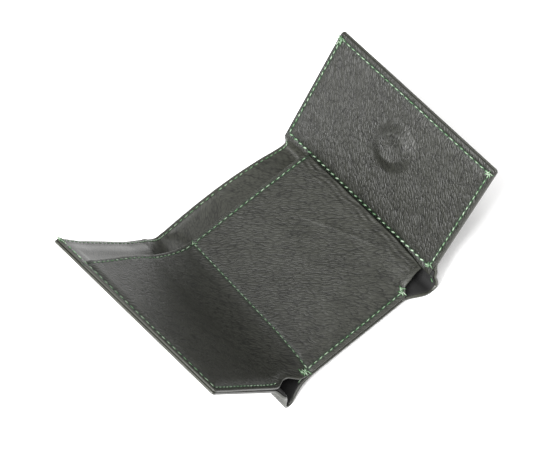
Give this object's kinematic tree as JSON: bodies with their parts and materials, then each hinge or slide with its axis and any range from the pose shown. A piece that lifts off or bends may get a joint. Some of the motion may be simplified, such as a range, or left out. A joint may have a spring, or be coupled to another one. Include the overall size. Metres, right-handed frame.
{
  "type": "card holder",
  "caption": "Compact trifold leather card holder with a slip pocket, a full-length note compartment, contrast stitching and a magnet closure, standing half open.",
  "frame": {"origin": "on the outer face of the centre panel, midway between the two lines where the inner leather turns into the folds", "axes": "+X towards the flap with the magnet, +Y along the folds towards the open mouth of the note compartment, +Z out of the inside of the centre panel"},
  "size_m": [0.1655, 0.0976, 0.0673],
  "materials": {
    "leather": "fine-grained, soft sheen",
    "lining": "smooth, thin lining leather",
    "board": "bonded leather board, matt",
    "steel": "plated, satin",
    "thread": "twisted green sewing thread"
  },
  "bodies": {
    "centre_panel": {"centre_shell": "leather", "left_shell_fold": "leather", "right_shell_fold": "leather", "card_pocket_front": "leather", "left_inner_fold": "leather", "centre_lining": "lining", "card_pocket_back": "lining", "left_lining_fold": "lining", "right_lining_fold": "lining", "thread_centre_bottom": "thread", "thread_centre_side": "thread", "thread_centre_top": "thread", "thread_pocket_mouth": "thread"},
    "left_flap": {"left_shell": "leather", "left_lining": "lining", "left_inner_panel": "leather", "left_board": "board", "left_keeper_disc": "steel", "thread_left_edge": "thread", "thread_left_mouth": "thread", "thread_left_top": "thread"},
    "right_flap": {"right_shell": "leather", "right_inner_panel": "leather", "right_board": "board", "right_magnet": "steel", "thread_right_edge": "thread"}
  },
  "joints": [
    {"name": "left_fold", "type": "hinge", "parent": "centre_panel", "child": "left_flap", "pos_m": [-0.0423, 0, 0.0046], "axis": [0, 1, 0], "range_deg": [-54, 125.6], "deforming": ["left_shell_fold", "left_lining_fold", "left_inner_fold"]},
    {"name": "right_fold", "type": "hinge", "parent": "centre_panel", "child": "right_flap", "pos_m": [0.0272, 0, 0.0059], "axis": [0, -1, 0], "range_deg": [-50, 123.2], "deforming": ["right_shell_fold", "right_lining_fold"]}
  ]
}
